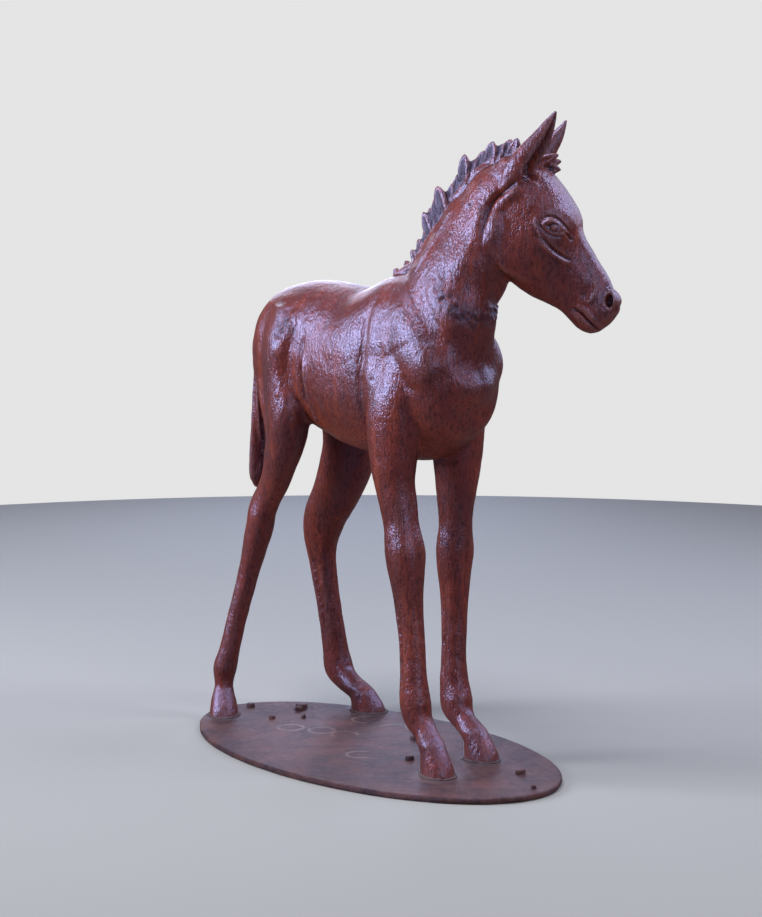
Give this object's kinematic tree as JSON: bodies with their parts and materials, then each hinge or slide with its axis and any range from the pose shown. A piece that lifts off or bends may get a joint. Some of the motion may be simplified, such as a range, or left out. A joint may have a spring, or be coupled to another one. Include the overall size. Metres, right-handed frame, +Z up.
{
  "type": "foal sculpture",
  "caption": "Life-size cast iron foal standing with its head turned to its left, welded by its hooves to a thin oval base plate.",
  "frame": {"origin": "centre of the oval base plate on its underside, where the sculpture rests", "axes": "+X forward along the plate's long axis, towards the foal's chest, +Y to the foal's left, +Z up"},
  "size_m": [0.9132, 0.4864, 1.2029],
  "materials": {
    "waxed_cast_iron": "rusted and waxed, semi-gloss",
    "plate_iron": "rusted, mostly matte"
  },
  "bodies": {
    "root": {"foal": "waxed_cast_iron", "base_plate": "plate_iron"}
  },
  "joints": []
}
